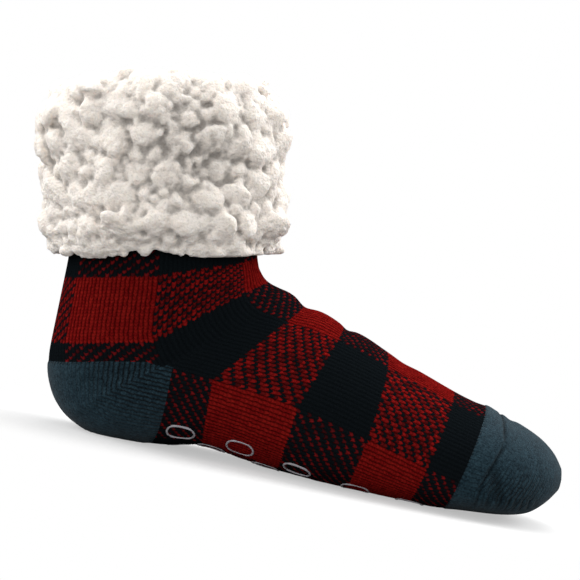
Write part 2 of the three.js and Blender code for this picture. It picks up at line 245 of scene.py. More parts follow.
def warped(t, share):
    """Moves a row along the foot, so that the pockets' edges lie where the knitter turned them."""
    toe = 1 - smooth(abs(t - ROW["toe seam"]), 0, 1)
    heel = 1 - smooth(abs(t - ROW["heel front"]), 0, 1)
    back = 1 - smooth(abs(t - ROW["heel top"]), 0, 1)
    lean = TOP_PULL * smooth(share, 0.3, 0.5) - (TOP_PULL + KEEL_PULL) * max(share * 2 - 1, 0)
    lift = BACK_PULL * smooth(share, 0.5, 0.68)
    return min(t - TOE_PULL * toe + lean * heel - lift * back, LAST)


def tube_point(t, column, around):
    """The tube's point at a row and a column of the whole ring; column 0 is at the crest."""
    column %= around
    index = min(column, around - column)
    place = warped(t, index * 2 / around) * FINE
    low = min(int(place), LAST * FINE - 1)
    first = ring_points(low, around // 2)[index]
    point = first.lerp(ring_points(low + 1, around // 2)[index], place - low)
    point.y = math.copysign(point.y, around / 2 - column)
    return point


waist_ring = ring_points(ROW["waist"] * FINE, 60)
waist_girth = 2 * sum((b - a).length for a, b in zip(waist_ring, waist_ring[1:]))
print("girth at the waist:", round(waist_girth, 1), "mm")

# %% [markdown]
# ## The knitted fabric
# The real sock comes off the needles as a tube of stitches. We start from the same thing laid
# flat: one grid made by `bmesh.ops.create_grid`, three columns of faces to a wale, which is a
# column of stitches. Rolling it is then only a matter of moving its vertices, and the seam is
# closed with `remove_doubles`. Before it is rolled each vertex notes its place in the fabric,
# so that the stitches can be charted afterwards.

# %% Grid of the fabric
WALES = 120
AROUND = WALES * 3
# from row, to row, faces between them
FABRIC_STRETCHES = [
    (0, 1.7, 8), (1.7, 3, 24), (3, 4, 8), (4, 8, 30), (8, 9, 10), (9, 10, 17), (10, 11, 18),
    (11, 12, 18), (12, 13, 8), (13, 13.3, 6), (13.3, 13.75, 20), (13.75, 14, 6), (14, 15, 18),
    (15, 16, 9), (16, 17, 4),
]


def row_stops(stretches):
    stops = []
    for start, end, count in stretches:
        stops += [start + (end - start) * step / count for step in range(count)]
    return stops + [stretches[-1][1]]


def flat_grid(around, rows):
    """A flat grid, and the column and row of each of its vertices."""
    bm = bmesh.new()
    bmesh.ops.create_grid(bm, x_segments=around, y_segments=rows, size=0.5)
    cells = [(round((v.co.x + 0.5) * around), round((v.co.y + 0.5) * rows)) for v in bm.verts]
    return bm, cells


def rolled(stops, around):
    """A tube through those rows, closed at the toe; each vertex keeps its stop and its column."""
    bm, cells = flat_grid(around, len(stops))
    stop_layer = bm.verts.layers.int.new("stop")
    column_layer = bm.verts.layers.int.new("column")
    for vert, (column, stop) in zip(bm.verts, cells):
        vert[stop_layer], vert[column_layer] = stop, column
        vert.co = tube_point(stops[stop], column, around) if stop < len(stops) else TOE_TIP
    return bm, stop_layer, column_layer


fabric_stops = row_stops(FABRIC_STRETCHES)
fabric, fabric_stop, fabric_column = rolled(fabric_stops, AROUND)
fabric_rows = fabric_stops + [LAST + 0.5]
print("fabric grid:", AROUND, "by", len(fabric_stops), "faces from", len(fabric.verts), "vertices")

# %% [markdown]
# ## Charting the check
# A knitter's chart counts wales across and courses along. The wale is simple: the ring has 120
# of them. Courses follow the fabric's length, so they are counted along each column of the
# grid, from one colour band to the next: every band has 20. The heel pocket is knitted in
# separately, so its length is left out of the count where it bulges behind the ankle.

# %% Counting courses
BAND = 20
COURSE = 1.55
FIRST_BAND_END = 40
# row where a band ends at the side, how much higher it lies at the crest, and lower at the keel
BAND_ENDS = [
    (2.1, 0.35, 0.06), (3.25, 0.25, -0.25), (9, 0, 0), (10.1, 0.17, 0), (11, 0.3, 0), (11.8, 0, 0),
]


def half_column(column):
    """The same column on the sock's first half, as both halves are alike."""
    column %= AROUND
    return min(column, AROUND - column)


def share_of(column):
    return half_column(column) / (AROUND / 2)


def band_row(band, share):
    row, rise, drop = BAND_ENDS[band]
    return row - rise * max(1 - share * 2, 0) + drop * max(share * 2 - 1, 0)


def column_lengths(column):
    """Length of the fabric down one column, at each row stop, without the heel pocket."""
    pocket = 1 - smooth(share_of(column), 0.4, 0.5)
    lengths = [0]
    for start, end in zip(fabric_stops, fabric_stops[1:]):
        step = (tube_point(end, column, AROUND) - tube_point(start, column, AROUND)).length
        in_pocket = ROW["heel top"] <= start < ROW["heel front"]
        lengths.append(lengths[-1] + step * (pocket if in_pocket else 1))
    return lengths


def read_off(stops, values, at):
    for index in range(len(stops) - 1):
        if at <= stops[index + 1]:
            mix = (at - stops[index]) / (stops[index + 1] - stops[index])
            return values[index] + (values[index + 1] - values[index]) * mix
    return values[-1]


def column_courses(column):
    lengths = column_lengths(column)
    share = share_of(column)
    bands = range(len(BAND_ENDS))
    ends = [read_off(fabric_stops, lengths, band_row(band, share)) for band in bands]
    courses = []
    for length in lengths:
        band = sum(length > end for end in ends)
        if band == 0:
            course = FIRST_BAND_END - (ends[0] - length) / COURSE
        elif band == len(ends):
            course = FIRST_BAND_END + BAND * (band - 1) + (length - ends[-1]) / COURSE
        else:
            part = (length - ends[band - 1]) / (ends[band] - ends[band - 1])
            course = FIRST_BAND_END + BAND * (band - 1 + part)
        courses.append(course)
    return courses


half_courses = [column_courses(column) for column in range(AROUND // 2 + 1)]


def course_at(stop, column):
    return half_courses[half_column(column)][min(stop, len(fabric_stops) - 1)]


side_column = AROUND // 4
courses_in_all = course_at(len(fabric_stops), side_column) - course_at(0, side_column)
print("courses along the side:", round(courses_in_all))

# %% [markdown]
# ## Places in the fabric
# Each face now learns which yarn it is knitted from, and where its stitches lie. Both are read
# from the flat grid before the seam is closed, as texture coordinates in stitches: one unit
# across is a wale and one unit along is a course. In the heel pocket the courses are counted
# from its two outer edges inwards, so they meet at the gore, the seam where it turns. Its first
# rows are cut short at the side, so that the two edges meet in a clean corner. At the front of
# the toe the wales stand up and fan round the tip.

# %% Regions and stitch coordinates
PLAID, PLAIN, INSIDE = range(3)
TOE_LINE = ROW["toe seam"] + 0.39
TOE_FAN_X = 180
TOE_FAN_RADIUS = 38
TOE_FAN_LEAN = 0.55
TOE_FAN_BASE = 14
TOE_COUNT_DROP = 60
WALE = 2.05
CLOSE = 1e-4
HEEL_HINGE = Vector((27, 0, 41))
EDGE_SPARE = 8
CORNER_SHARE = 0.494
CORNER_END = 0.56
CORNER_ROWS = 3


def angle_round_back(point):
    return math.atan2(abs(point.y), HEEL_HINGE.x - point.x)


def angle_round_sole(point):
    return math.atan2(abs(point.y), HEEL_HINGE.z - point.z)


def edge_table(row, angle):
    """Angles, columns and points along one edge of the heel pocket, from the keel past its corner."""
    columns = range(AROUND // 2, AROUND // 4 - EDGE_SPARE, -1)
    points = [tube_point(row, column, AROUND) for column in columns]
    return [angle(point) for point in points], list(columns), points


top_edge = edge_table(ROW["heel top"], angle_round_back)
front_edge = edge_table(ROW["heel front"], angle_round_sole)


def read_edge(edge, angle):
    angles, columns, points = edge
    index = min(max(bisect(angles, angle), 1), len(angles) - 1)
    mix = (angle - angles[index - 1]) / (angles[index] - angles[index - 1])
    mix = min(max(mix, 0), 1)
    column = columns[index - 1] + (columns[index] - columns[index - 1]) * mix
    return column, points[index - 1].lerp(points[index], mix)


def pocket_places(point):
    """Wale column and course of a heel point, counted from the top edge and from the front edge."""
    back_column, above = read_edge(top_edge, angle_round_back(point))
    sole_column, ahead = read_edge(front_edge, angle_round_sole(point))
    return (back_column, (above.z - point.z) / COURSE), (sole_column, (ahead.x - point.x) / COURSE)


def gore_distance(point):
    """Wales between a heel point and the gore: positive above it and negative below."""
    back, sole = pocket_places(point)
    return (back[0] - sole[0]) / 3


def in_heel(row, share):
    """The pocket narrows to a corner at the side, where its two outer edges meet."""
    cut = CORNER_ROWS * (1 - smooth(share, CORNER_SHARE, CORNER_END)) ** 2
    return ROW["heel top"] + cut < row < ROW["heel front"] and share > CORNER_SHARE


def stitch_place(stop, column, point, face_row, face_share, face_middle):
    """Wale and course of one corner of a face, counted as in the face's own region."""
    if in_heel(face_row, face_share):
        back, sole = pocket_places(point)
        pocket_column, course = back if gore_distance(face_middle) > 0 else sole
        return (pocket_column if face_middle.y > 0 else AROUND - pocket_column) / 3, course
    if face_row > TOE_LINE:
        turn = math.atan2(abs(point.y), point.x - TOE_FAN_X)
        lean = max(point.z - TOE_FAN_BASE, 0) * TOE_FAN_LEAN
        return (turn * TOE_FAN_RADIUS + lean) / WALE, (point.z + TOE_COUNT_DROP) / COURSE
    return column / 3, course_at(stop, column)


def chart(bm):
    uv = bm.loops.layers.uv.new("stitches")
    counts = [0, 0]
    for face in bm.faces:
        face_row = sum(fabric_rows[vert[fabric_stop]] for vert in face.verts) / 4
        face_share = share_of(sum(vert[fabric_column] for vert in face.verts) / 4)
        plain = in_heel(face_row, face_share) or face_row > ROW["toe seam"]
        face.material_index = PLAIN if plain else PLAID
        counts[face.material_index] += 1
        middle = face.calc_center_median()
        for loop in face.loops:
            stop, column = loop.vert[fabric_stop], loop.vert[fabric_column]
            loop[uv].uv = stitch_place(stop, column, loop.vert.co, face_row, face_share, middle)
    return counts


print("faces of plaid and plain:", chart(fabric))

# %% [markdown]
# ## Creases
# Knit on a foot isn't quite smooth. It dips where the ankle bends and where one band of the
# check pulls harder than the next, it gathers at the end of the toe seam, and it stands up in a
# fine ridge along the heel's gore. These could be sculpted with a brush. A short table is
# easier to tune: each line is one soft trough, or a ridge where its depth is negative, from one
# place in the fabric to another. Rows are those of the form, and shares run from 0 at the crest
# to 1 at the keel.

# %% Creases
# name, from row, from share, to row, to share, half width mm, depth mm
CREASES = [
    ("hem of the cuff", 1.72, 0, 1.72, 1, 5, 0.9),
    ("ankle bend", 2.86, 0, 2.95, 0.2, 5, 1.5),
    ("ankle side fold", 2.5, 0.26, 3.4, 0.44, 6, 0.7),
    ("ankle back fold", 2.3, 0.62, 3.3, 0.52, 7, 0.6),
    ("first swell", 8.2, 0, 8.2, 0.2, 6, -0.9),
    ("instep trough", 9.0, 0, 9.1, 0.22, 4.5, 1.3),
    ("second swell", 9.55, 0, 9.6, 0.16, 8, -1.0),
    ("instep notch", 10.02, 0, 10.05, 0.14, 3, 1.2),
    ("third swell", 10.35, 0, 10.35, 0.16, 9, -0.8),
    ("vamp trough", 11.0, 0, 11.1, 0.15, 6, 0.7),
    ("side pull", 9.4, 0.34, 10.2, 0.4, 7, 0.6),
    ("arch hollow", 9.3, 0.7, 10.1, 0.78, 8, 0.9),
    ("heel fold", 4.9, 0.56, 5.1, 0.86, 4, 0.5),
    ("toe seam", TOE_LINE, 0, TOE_LINE + 0.2, 0.31, 0.75, 1.0),
    ("toe seam side", TOE_LINE + 0.2, 0.27, TOE_LINE + 0.02, 0.52, 0.75, 1.1),
    ("toe cap", TOE_LINE - 0.3, 0, TOE_LINE - 0.2, 0.2, 4, -0.6),
    ("toe dip", TOE_LINE + 0.25, 0, TOE_LINE + 0.3, 0.14, 2.5, 0.7),
    ("toe seam hollow", TOE_LINE + 0.12, 0.4, TOE_LINE + 0.5, 0.56, 3.2, 0.6),
]
GATHERS = 8
GATHER_WIDTH = 0.7
GATHER_DEPTH = 0.7
for gather in range(GATHERS):
    row = TOE_LINE + 0.06 + 0.16 * gather + 0.012 * gather * gather
    start, end = (row, 0.47 + 0.008 * gather), (row + 0.05, 0.64)
    CREASES.append((f"toe gather {gather + 1}", *start, *end, GATHER_WIDTH, GATHER_DEPTH))
CREASE_STEP = 0.01
STEPS_PER_ROW = 20
TAPER_IN = 0.18
TAPER_OUT = 0.65


def crease_points():
    """Every crease as close-set points on both sides of the sock, with its width and depth there."""
    samples = []
    for number, (_, row_a, share_a, row_b, share_b, width, depth) in enumerate(CREASES):
        across, down = abs(share_b - share_a), abs(row_b - row_a)
        count = max(int(across / CREASE_STEP), int(down * STEPS_PER_ROW), 8)
        for step in range(count + 1):
            along = step / count
            row, share = row_a + (row_b - row_a) * along, share_a + (share_b - share_a) * along
            place = share * AROUND / 2
            index = min(int(place), AROUND // 2 - 1)
            point = tube_point(row, index, AROUND)
            point = point.lerp(tube_point(row, index + 1, AROUND), place - index)
            taper = smooth(along, 0, TAPER_IN) if share_a > 0 else 1
            taper *= 1 - smooth(along, TAPER_OUT, 1) if share_b < 1 else 1
            for side in (-1, 1):
                mirrored = Vector((point.x, point.y * side, point.z))
                samples.append((mirrored, number, width, depth * taper))
    tree = KDTree(len(samples))
    for index, sample in enumerate(samples):
        tree.insert(sample[0], index)
    tree.balance()
    return samples, tree


crease_samples, crease_tree = crease_points()
CREASE_REACH = 2.4 * max(crease[5] for crease in CREASES)


def crease_depth(point):
    best = {}
    for _, index, distance in crease_tree.find_range(point, CREASE_REACH):
        _, number, width, depth = crease_samples[index]
        fall = depth * math.exp(-((distance / width) ** 2))
        if abs(fall) > abs(best.get(number, 0)):
            best[number] = fall
    return sum(best.values())


print(len(CREASES), "creases from", len(crease_samples), "points")

# %% [markdown]
# ## Rolling the fabric up
# The grid's vertices already sit on the tube. The seam and the tip are merged, the normals are
# made to point out, and each vertex then moves along its own normal: in at the furrow between
# two wales, out where the heel and toe are knitted thicker, and in or out at the creases. The
# furrows are real geometry, so the sock looks ribbed in any light.

# %% Shape the outer face
RIB_DEPTH = 0.28
GORE_HEIGHT = 0.5
GORE_WIDTH = 0.7
GORE_START = (0.5, 0.55)
GORE_END = (0.8, 0.95)
HEEL_FADE = (0.5, 0.56)
HEEL_WORN = (0.62, 0.86)
HEEL_WEAR = 0.85
TOE_CLEARNESS = 0.12
GATHER_CLEARNESS = 0.75
STEP_RUN = 0.035
FOLD_REACH = 3


def patch_height(row, share):
    if row > ROW["toe seam"] + STEP_RUN:
        return PATCH_STEP
    in_pocket = ROW["heel top"] + STEP_RUN < row < ROW["heel front"] - STEP_RUN
    return PATCH_STEP * smooth(share, *HEEL_FADE) if in_pocket else 0


def rib(row, column):
    furrow = column % 3 == 0
    fade = 1 - smooth(row, ROW["toe seam"] - 0.05, ROW["toe seam"] + 0.15)
    fade *= not in_heel(row, share_of(column))
    return -RIB_DEPTH * fade if furrow else 0


def gore_ridge(row, share, point):
    if not in_heel(row, share):
        return 0
    away = abs(gore_distance(point)) / GORE_WIDTH
    fade = smooth(share, *GORE_START) * (1 - smooth(share, *GORE_END))
    return GORE_HEIGHT * math.exp(-away * away) * fade


def close_tube(bm):
    bmesh.ops.remove_doubles(bm, verts=bm.verts, dist=1e-5)
    bmesh.ops.recalc_face_normals(bm, faces=bm.faces)
    bm.normal_update()


def place_all(bm, places):
    for vert, place in zip(bm.verts, places):
        vert.co = place


def clearness(row, share):
    """How clearly single wales show: they sink into the worn back of the heel and most of the toe."""
    if in_heel(row, share):
        return 1 - HEEL_WEAR * smooth(share, *HEEL_WORN)
    if row > ROW["toe seam"]:
        gathers = math.exp(-((row - TOE_LINE - 0.8) ** 2) - ((share - 0.49) / 0.09) ** 2)
        return TOE_CLEARNESS + GATHER_CLEARNESS * gathers
    return 1


def fold_shade(point):
    """Darkness in the toe's seam and gathers, where little light reaches."""
    shade = 0
    for _, index, distance in crease_tree.find_range(point, FOLD_REACH):
        _, number, width, depth = crease_samples[index]
        if depth > 0 and CREASES[number][0].startswith(("toe seam", "toe gather")):
            shade = max(shade, math.exp(-((distance / width) ** 2)) * min(depth, 1))
    return shade


def shape_fabric(bm):
    clear = bm.verts.layers.float.new("clearness")
    fold = bm.verts.layers.float.new("fold")
    places = []
    for vert in bm.verts:
        row, column = fabric_rows[vert[fabric_stop]], vert[fabric_column]
        share = share_of(column)
        out = patch_height(row, share) + rib(row, column) - crease_depth(vert.co)
        out += gore_ridge(row, share, vert.co)
        vert[clear] = clearness(row, share)
        vert[fold] = fold_shade(vert.co)
        rest = sole_height(vert.co.x)
        place = vert.co + vert.normal * out
        place.z = rest if vert.co.z <= rest + CLOSE else max(place.z, rest)
        places.append(place)
    place_all(bm, places)


close_tube(fabric)
shape_fabric(fabric)
outer_volume = fabric.calc_volume(signed=True)
print("outer face:", len(fabric.faces), "faces; signed volume", round(outer_volume / 1e3), "cm3")

# %% [markdown]
# The wall needs an inner face too. A Solidify modifier would copy every rib inwards and double
# the mesh, so a second, coarser tube is rolled instead, 2 mm further in, and turned inside out.
# The two are joined at the collar with `bridge_loops`, which gives the fabric its real edge.

# %% The inner face and the edge
INNER_STRETCHES = [(0, 4, 10), (4, 8, 8), (8, 13, 12), (13, 17, 8)]
inner_face = rolled(row_stops(INNER_STRETCHES), AROUND)[0]


def sunk(vert, depth, lowest):
    """A place that deep under a tube's face, and at least lowest above the sole."""
    place = vert.co - vert.normal * depth
    place.z = max(place.z, sole_height(vert.co.x) + lowest)
    return place


def to_mesh(bm, name):
    """Finish a bmesh in millimetres as an object in metres, at the origin."""
    bmesh.ops.scale(bm, vec=(MM, MM, MM), verts=bm.verts)
    for face in bm.faces:
        face.smooth = True
    mesh = bpy.data.meshes.new(name)
    bm.to_mesh(mesh)
    bm.free()
    piece = bpy.data.objects.new(name, mesh)
    bpy.context.scene.collection.objects.link(piece)
    return piece


def add_bmesh(target, other):
    """Copies another bmesh into the target."""
    mesh = bpy.data.meshes.new("part")
    other.to_mesh(mesh)
    other.free()
    target.from_mesh(mesh)
    bpy.data.meshes.remove(mesh)


close_tube(inner_face)
place_all(inner_face, [sunk(vert, WALL, WALL) for vert in inner_face.verts])
bmesh.ops.reverse_faces(inner_face, faces=inner_face.faces)
for face in inner_face.faces:
    face.material_index = INSIDE
add_bmesh(fabric, inner_face)
open_edges = [edge for edge in fabric.edges if edge.is_boundary]
edge_faces = bmesh.ops.bridge_loops(fabric, edges=open_edges)["faces"]
for face in edge_faces:
    face.material_index = INSIDE
still_open = sum(edge.is_boundary for edge in fabric.edges)
print("open edges joined:", len(open_edges), "still open:", still_open)
knit = to_mesh(fabric, "knit")
print("knit:", len(knit.data.polygons), "faces")

# %% [markdown]
# ## The fleece cuff's base
# The cuff is one deep band folded over the collar. Under the curls it has a plain U-shaped form:
# the outer side, the roll at the top, and the inner side that becomes the lining. The same trick
# makes it: a grid, whose columns go round the collar and whose rows go round the U.

# %% Base of the cuff
CUFF_HEIGHT = 82
FOLD_RISE = 9
HEM_HEIGHT = 8.5
PILE_DEPTH = 10
LINING_DEPTH = 7
LINING_REACH = 36
LINING_TAPER = 0.7
CLEARANCE = 0.3
BASE_SINK = 2.0
SWELL_SIZE = 0.045
SWELL_DEPTH = 4.5
SWELL_SEED = Vector((3, 7, 1))
HEM_TILT = 1.6
HEM_HANG = 2.2
HEM_SAG = 1.4
TOP_DROP = 5
BACK_DEPTH = 2
CUFF_AROUND = 72
CUFF_TOP = CUFF_HEIGHT - HEM_HEIGHT
# share of the pile's depth, share of the cuff's height
CUFF_OUTER = [
    (0.36, -0.04), (0.8, 0.0), (1.12, 0.17), (0.94, 0.47), (1.16, 0.68), (1.08, 0.83), (0.66, 0.935),
    (0.18, 0.985),
]
CUFF_INNER = [(0.2, 1), (0.78, 0.965), (1.04, 0.9), (0.98, 0.66)]
@lru_cache(maxsize=None)
def shaft_row_at(along):
    """The row of the knit at a height along the shaft, found by halving."""
    high, low = 0, ROW["heel top"]
    for _ in range(30):
        middle = (high + low) / 2
        height = (tube_point(middle, CUFF_AROUND // 4, CUFF_AROUND) - ANKLE).dot(LEAN_AXIS)
        high, low = (middle, low) if height > along else (high, middle)
    return high


def cuff_point(column, out, up):
    """A place beside the shaft: out from the knit's face and up from the cuff's hem, in mm."""
    along = HEM_HEIGHT + up
    row = shaft_row_at(min(along, SHAFT_LENGTH))
    before, point, after = (tube_point(row, column + step, CUFF_AROUND) for step in (-1, 0, 1))
    outward = (after - before).cross(LEAN_AXIS).normalized()
    return point + outward * out + LEAN_AXIS * max(along - SHAFT_LENGTH, 0)


INSIDE_FACE = -WALL - CLEARANCE
RIM = CUFF_HEIGHT - FOLD_RISE + CLEARANCE
cuff_section = [(CLEARANCE + out * PILE_DEPTH, up * CUFF_HEIGHT) for out, up in CUFF_OUTER]
cuff_section += [(INSIDE_FACE - out * LINING_DEPTH, up * CUFF_HEIGHT) for out, up in CUFF_INNER]
cuff_section += [(INSIDE_FACE - out * LINING_DEPTH, RIM - LINING_REACH) for out in (LINING_TAPER, 0)]


def cuff_base(section, shrink):
    """The section swept round the collar, all faces sunk by shrink so that the curls fill it out."""
    bm, cells = flat_grid(CUFF_AROUND, len(section))
    for vert, (column, corner) in zip(bm.verts, cells):
        out, up = section[corner % len(section)]
        forward = math.cos(math.tau * column / CUFF_AROUND)
        up += HEM_TILT * forward if up < CUFF_TOP / 4 else 0
        up -= TOP_DROP * forward ** 2 * smooth(up, CUFF_TOP / 2, CUFF_TOP)
        out += BACK_DEPTH * max(-forward, 0) if out > 0 else 0
        vert.co = cuff_point(column, out, up)
    close_tube(bm)
    places = []
    for vert in bm.verts:
        swell = SWELL_DEPTH * noise.noise(vert.co * SWELL_SIZE + SWELL_SEED)
        places.append(vert.co + vert.normal * (swell - shrink))
    place_all(bm, places)
    return bm


cuff_bm = cuff_base(cuff_section, BASE_SINK)
print("cuff base:", len(cuff_bm.faces), "faces,", round(cuff_bm.calc_volume(signed=True) / 1e3), "cm3")
cuff = to_mesh(cuff_bm, "fleece_cuff")

# %% [markdown]
# ## Helpers for node trees
# Both Geometry Nodes and shaders are built from code here. `put` makes a node, sets its options
# and fills its inputs: an input given a socket is linked and any other is set. The rest are
# short names for the sums and textures that come back in every tree.

# %% Helpers for node trees
def fill(tree, node, inputs):
    for name, value in inputs.items():
        if isinstance(value, bpy.types.NodeSocket):
            tree.links.new(value, node.inputs[name])
        else:
            node.inputs[name].default_value = value


def put(tree, kind, inputs=None, **options):
    node = tree.nodes.new(kind)
    for name, value in options.items():
        setattr(node, name, value)
    fill(tree, node, inputs or {})
    return node


def maths(tree, operation, *values, clamp=False):
    inputs = dict(enumerate(values))
    return put(tree, "ShaderNodeMath", inputs, operation=operation, use_clamp=clamp).outputs[0]


def plus(tree, first, second, clamp=False):
    return maths(tree, "ADD", first, second, clamp=clamp)


def minus(tree, first, second, clamp=False):
    return maths(tree, "SUBTRACT", first, second, clamp=clamp)


def times(tree, first, second, clamp=False):
    return maths(tree, "MULTIPLY", first, second, clamp=clamp)


def vector_maths(tree, operation, *values, output=0):
    inputs = dict(enumerate(values))
    return put(tree, "ShaderNodeVectorMath", inputs, operation=operation).outputs[output]


def noise_at(tree, place, scale, detail, output=0):
    inputs = {"Vector": place, "Scale": scale, "Detail": detail}
    return put(tree, "ShaderNodeTexNoise", inputs).outputs[output]


def smooth_ramp(tree, value, start, end, low=0.0, high=1.0):
    """Runs smoothly from low to high while the value runs from start to end."""
    inputs = {"Value": value, "From Min": start, "From Max": end, "To Min": low, "To Max": high}
    return put(tree, "ShaderNodeMapRange", inputs, interpolation_type="SMOOTHSTEP").outputs[0]


def new_group(name, kind, inputs, outputs):
    """A node group with its named sockets, its input node and a way to fill its output."""
    tree = bpy.data.node_groups.new(name, kind)
    for label, socket, value in inputs:
        made = tree.interface.new_socket(label, in_out="INPUT", socket_type=socket)
        if value is not None:
            made.default_value = value
    for label, socket in outputs:
        tree.interface.new_socket(label, in_out="OUTPUT", socket_type=socket)
    return tree, tree.nodes.new("NodeGroupInput").outputs, tree.nodes.new("NodeGroupOutput")


print("node helpers ready")

# %% [markdown]
# ## Curls
# The fleece is a deep pile that has clumped into curls, small clumps on larger ones. Hair
# particles would be truer, but they are slow and can't be exported as a solid. Instead squashed
# balls are scattered over the base in four sizes by Geometry Nodes, and a voxel remesh melts
# them into one skin, which is softened a little. Faces that look down carry only the smaller
# sizes, so no big curl hangs under the hem. A second node tree then roughens the skin, and
# notes for the material how deep each point lies between its neighbours. Last, what still hangs
# below the hem is pressed up to nearly one level.

# %% Scatter the curls
# name, spacing mm, radius mm, share of the radius lost by the smallest, height, lift mm, and
# how far down a face may look and still carry one, as the z of its normal
CURL_SIZES = [
    ("puffs", 14, 8.4, 0.3, 0.5, 0.8, -0.45),
    ("clumps", 7.8, 4.2, 0.35, 0.75, 1.3, -0.55),
    ("curls", 4.4, 2.4, 0.45, 0.95, 1.3, -0.8),
    ("tufts", 2.4, 1.2, 0.4, 1.1, 1.0, -1.1),
]
CURL_LENGTH = 1.45
CURL_BREADTH = 0.95
CURL_TILT = 0.5
MOST_CURLS = 4e5
FIRST_SEED = 3
VOXEL = 1.05 * MM
CELL_SCALE = 290.0
WAVE_SCALE = 260.0
WAVE_GAIN = 2.2
ROUGHNESS = 0.0008
# steps of blurring, gain: hollows between tufts, then between clumps
HOLLOWS = ((8, 500), (40, 170))
FLOAT, VECTOR, GEOMETRY = "NodeSocketFloat", "NodeSocketVector", "NodeSocketGeometry"


def random_vector(tree, low, high, seed):
    inputs = {"Min": low, "Max": high, "Seed": seed}
    return put(tree, "FunctionNodeRandomValue", inputs, data_type="FLOAT_VECTOR").outputs["Value"]


def scatter_layer(tree, surface, spacing, radius, loss, flat, lift, lowest, seed):
    normal = tree.nodes.new("GeometryNodeInputNormal").outputs["Normal"]
    upward = put(tree, "ShaderNodeSeparateXYZ", {"Vector": normal}).outputs["Z"]
    points = put(tree, "GeometryNodeDistributePointsOnFaces", {
        "Mesh": surface, "Distance Min": spacing * MM, "Density Max": MOST_CURLS, "Seed": seed,
        "Selection": maths(tree, "GREATER_THAN", upward, lowest),
    }, distribute_method="POISSON").outputs
    ball = put(tree, "GeometryNodeMeshIcoSphere", {"Radius": radius * MM, "Subdivisions": 2})
    smallest = (1 - loss, 1 - loss, flat * (1 - loss))
    size = random_vector(tree, smallest, (CURL_LENGTH, CURL_BREADTH, flat), seed + 10)
    turn = random_vector(
        tree, (-CURL_TILT, -CURL_TILT, -math.pi), (CURL_TILT, CURL_TILT, math.pi), seed + 20)
    turned = put(tree, "FunctionNodeRotateRotation", {
        "Rotation": points["Rotation"], "Rotate By": turn}, rotation_space="LOCAL")
    placed = put(tree, "GeometryNodeInstanceOnPoints", {
        "Points": points["Points"], "Instance": ball.outputs["Mesh"],
        "Rotation": turned.outputs["Rotation"], "Scale": size,
    })
    rise = random_vector(tree, (0, 0, -lift * MM), (0, 0, lift * MM), seed + 30)
    lifted = put(tree, "GeometryNodeTranslateInstances", {
        "Instances": placed.outputs["Instances"], "Translation": rise})
    return put(tree, "GeometryNodeRealizeInstances", {"Geometry": lifted.outputs["Instances"]})


def scatter_tree():
    tree, given, result = new_group(
        "scatter curls", "GeometryNodeTree", [("Geometry", GEOMETRY, None)], [("Geometry", GEOMETRY)])
    join = put(tree, "GeometryNodeJoinGeometry", {"Geometry": given["Geometry"]})
    for seed, (_, *sizes) in enumerate(CURL_SIZES, start=FIRST_SEED):
        layer = scatter_layer(tree, given["Geometry"], *sizes, seed)
        fill(tree, join, {"Geometry": layer.outputs["Geometry"]})
    fill(tree, result, {"Geometry": join.outputs["Geometry"]})
    return tree


def roughen_tree():
    """Moves the skin along its normals by two noises, then stores how hollow each point lies."""
    tree, given, result = new_group(
        "roughen fleece", "GeometryNodeTree",
        [("Geometry", GEOMETRY, None), ("Depth", FLOAT, ROUGHNESS)], [("Geometry", GEOMETRY)])
    normal = tree.nodes.new("GeometryNodeInputNormal").outputs["Normal"]
    place = tree.nodes.new("GeometryNodeInputPosition").outputs["Position"]
    cells = put(tree, "ShaderNodeTexVoronoi", {"Vector": place, "Scale": CELL_SCALE}, feature="F1")
    wave = minus(tree, noise_at(tree, place, WAVE_SCALE, 4.0), 0.5)
    height = plus(tree, minus(tree, 0.5, cells.outputs["Distance"]), times(tree, wave, WAVE_GAIN))
    push = put(tree, "ShaderNodeVectorMath", {
        0: normal, "Scale": times(tree, height, given["Depth"])}, operation="SCALE")
    moved = put(tree, "GeometryNodeSetPosition", {
        "Geometry": given["Geometry"], "Offset": push.outputs[0]})
    hollow = 0
    for steps, gain in HOLLOWS:
        blurred = put(tree, "GeometryNodeBlurAttribute", {"Iterations": steps}, data_type="FLOAT_VECTOR")
        value_socket = next(s for s in blurred.inputs if s.enabled and s.type == "VECTOR")
        tree.links.new(place, value_socket)
        smooth_place = next(s for s in blurred.outputs if s.enabled)
        away = vector_maths(tree, "SUBTRACT", smooth_place, place)
        depth = vector_maths(tree, "DOT_PRODUCT", away, normal, output="Value")
        hollow = plus(tree, hollow, times(tree, depth, gain))
    stored = put(tree, "GeometryNodeStoreNamedAttribute", {
        "Geometry": moved.outputs["Geometry"], "Name": "hollow", "Value": hollow,
    }, data_type="FLOAT", domain="POINT")
    shaded = put(tree, "GeometryNodeSetShadeSmooth", {"Geometry": stored.outputs["Geometry"]})
    fill(tree, result, {"Geometry": shaded.outputs["Geometry"]})
    return tree


def bake(piece):
    """Replaces the piece's mesh with what its modifiers make, and removes them."""
    scene_now = bpy.context.evaluated_depsgraph_get()
    baked = bpy.data.meshes.new_from_object(piece.evaluated_get(scene_now))
    baked.materials.clear()
    piece.modifiers.clear()
    piece.data = baked


scatter = cuff.modifiers.new("scatter", "NODES")
scatter.node_group = scatter_tree()
melt = cuff.modifiers.new("melt", "REMESH")
melt.mode = "VOXEL"
melt.voxel_size = VOXEL
melt.use_smooth_shade = True
soften = cuff.modifiers.new("soften", "SMOOTH")
soften.factor = 0.5
soften.iterations = 4
roughen = cuff.modifiers.new("roughen", "NODES")
roughen.node_group = roughen_tree()
bake(cuff)


